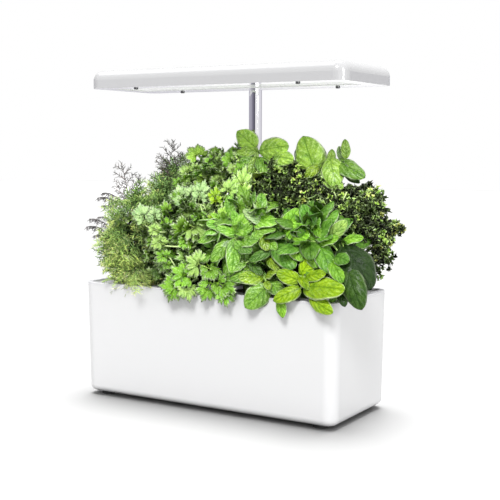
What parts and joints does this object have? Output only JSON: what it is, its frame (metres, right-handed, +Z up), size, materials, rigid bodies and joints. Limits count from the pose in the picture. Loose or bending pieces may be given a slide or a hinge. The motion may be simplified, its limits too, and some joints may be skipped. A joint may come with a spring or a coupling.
{
  "type": "countertop hydroponic garden",
  "caption": "White rectangular water tank with a pod deck of herbs, a telescopic chrome mast at the back and a flat rectangular grow light over the plants.",
  "frame": {"origin": "on the surface the rubber feet stand on, under the middle of the tank", "axes": "+X along the tank's length, -Y towards its front, +Z up"},
  "size_m": [0.44, 0.187, 0.403],
  "materials": {
    "tank_white": "gloss white injection-moulded ABS",
    "deck_white": "satin white moulded ABS",
    "rubber_black": "matte black rubber",
    "cup_white": "satin white polypropylene",
    "sponge_brown": "matte brown open-cell grow sponge",
    "mast_chrome": "polished chromed steel tube",
    "collar_grey": "satin grey nylon",
    "bush_white": "matte white PTFE",
    "screw_steel": "satin zinc-plated steel",
    "screw_dark": "satin black oxide steel",
    "shaft_steel": "polished stainless steel",
    "lead_black": "satin black PVC coiled lead",
    "pump_black": "satin black ABS",
    "rotor_black": "matte black plastic-bonded magnet",
    "hood_white": "gloss white injection-moulded ABS",
    "lens_frosted": "frosted white acrylic light diffuser",
    "board_aluminium": "white solder mask on aluminium board",
    "led_yellow": "satin yellow LED phosphor",
    "board_green": "satin green circuit board",
    "switch_black": "satin black moulded nylon",
    "float_red": "satin red polypropylene",
    "button_grey": "satin light grey ABS",
    "leaf_dill": "satin feathery dill leaf",
    "leaf_parsley": "satin flat parsley and coriander leaf",
    "leaf_basil": "gloss bright green basil leaf",
    "leaf_basil_dark": "satin dark green basil leaf",
    "leaf_thyme": "matte grey-green needle leaf",
    "leaf_curly": "satin dark curly parsley leaf"
  },
  "bodies": {
    "tank": {"tank_shell": "tank_white", "rubber_feet": "rubber_black"},
    "deck": {"deck_plate": "deck_white", "mast_base": "deck_white", "mast_base_screws": "screw_steel", "mast_outer_tube": "mast_chrome", "mast_outer_collar": "collar_grey", "float_guide": "deck_white", "pump_bracket": "pump_black", "pump_housing": "pump_black", "pump_cover": "pump_black", "pump_filter": "pump_black", "pump_shaft": "shaft_steel", "mast_lead": "lead_black"},
    "mast_middle": {"mast_middle_tube": "mast_chrome", "mast_middle_collar": "collar_grey", "mast_middle_bush": "bush_white"},
    "lamp": {"mast_inner_tube": "mast_chrome", "mast_inner_bush": "bush_white", "mast_head": "hood_white", "hood_cover": "hood_white", "hood_tray": "hood_white", "light_lens": "lens_frosted", "led_board": "board_aluminium", "led_packages": "led_yellow", "control_board": "board_green", "tact_switches": "switch_black", "hood_screws": "screw_dark", "lamp_inner_screws": "screw_steel", "dc_inlet": "switch_black", "dc_pin": "shaft_steel"},
    "fill_cap": {"fill_cap": "deck_white"},
    "water_float": {"water_float": "float_red"},
    "pump_rotor": {"pump_rotor": "rotor_black"},
    "power_button": {"power_button": "button_grey"},
    "mode_button": {"mode_button": "button_grey"},
    "pod_1": {"net_cup_1": "cup_white", "grow_sponge_1": "sponge_brown", "dill": "leaf_dill"},
    "pod_2": {"net_cup_2": "cup_white", "grow_sponge_2": "sponge_brown", "flat_parsley": "leaf_parsley"},
    "pod_3": {"net_cup_3": "cup_white", "grow_sponge_3": "sponge_brown", "basil_front": "leaf_basil"},
    "pod_4": {"net_cup_4": "cup_white", "grow_sponge_4": "sponge_brown", "dark_basil": "leaf_basil_dark"},
    "pod_5": {"net_cup_5": "cup_white", "grow_sponge_5": "sponge_brown", "thyme": "leaf_thyme"},
    "pod_6": {"net_cup_6": "cup_white", "grow_sponge_6": "sponge_brown", "coriander": "leaf_parsley"},
    "pod_7": {"net_cup_7": "cup_white", "grow_sponge_7": "sponge_brown", "basil_back": "leaf_basil"},
    "pod_8": {"net_cup_8": "cup_white", "grow_sponge_8": "sponge_brown", "curly_parsley": "leaf_curly"}
  },
  "joints": [
    {"name": "deck_lift", "type": "slide", "parent": "tank", "child": "deck", "axis": [0, 0, 1], "range_m": [0, 0.14]},
    {"name": "mast_middle_slide", "type": "slide", "parent": "deck", "child": "mast_middle", "axis": [0, 0, 1], "range_m": [-0.028, 0.092]},
    {"name": "mast_inner_slide", "type": "slide", "parent": "mast_middle", "child": "lamp", "axis": [0, 0, 1], "range_m": [-0.12, 0], "deforming": ["dill", "flat_parsley", "basil_front", "dark_basil", "thyme", "coriander", "basil_back", "curly_parsley", "mast_lead"]},
    {"name": "fill_cap_lift", "type": "slide", "parent": "deck", "child": "fill_cap", "axis": [0, 0, 1], "range_m": [0, 0.015]},
    {"name": "float_rise", "type": "slide", "parent": "deck", "child": "water_float", "axis": [0, 0, 1], "range_m": [0, 0.035]},
    {"name": "rotor_spin", "type": "hinge", "parent": "deck", "child": "pump_rotor", "pos_m": [0, 0.035, 0.026], "axis": [0, -1, 0], "continuous": true},
    {"name": "power_press", "type": "slide", "parent": "lamp", "child": "power_button", "axis": [0, 0, 1], "range_m": [-0.001, 0], "stiffness_N_per_m": 400},
    {"name": "mode_press", "type": "slide", "parent": "lamp", "child": "mode_button", "axis": [0, 0, 1], "range_m": [-0.001, 0], "stiffness_N_per_m": 400},
    {"name": "pod_1_lift", "type": "slide", "parent": "deck", "child": "pod_1", "axis": [0, 0, 1], "range_m": [0, 0.048]},
    {"name": "pod_2_lift", "type": "slide", "parent": "deck", "child": "pod_2", "axis": [0, 0, 1], "range_m": [0, 0.048]},
    {"name": "pod_3_lift", "type": "slide", "parent": "deck", "child": "pod_3", "axis": [0, 0, 1], "range_m": [0, 0.048]},
    {"name": "pod_4_lift", "type": "slide", "parent": "deck", "child": "pod_4", "axis": [0, 0, 1], "range_m": [0, 0.048]},
    {"name": "pod_5_lift", "type": "slide", "parent": "deck", "child": "pod_5", "axis": [0, 0, 1], "range_m": [0, 0.048]},
    {"name": "pod_6_lift", "type": "slide", "parent": "deck", "child": "pod_6", "axis": [0, 0, 1], "range_m": [0, 0.048]},
    {"name": "pod_7_lift", "type": "slide", "parent": "deck", "child": "pod_7", "axis": [0, 0, 1], "range_m": [0, 0.048]},
    {"name": "pod_8_lift", "type": "slide", "parent": "deck", "child": "pod_8", "axis": [0, 0, 1], "range_m": [0, 0.048]}
  ]
}
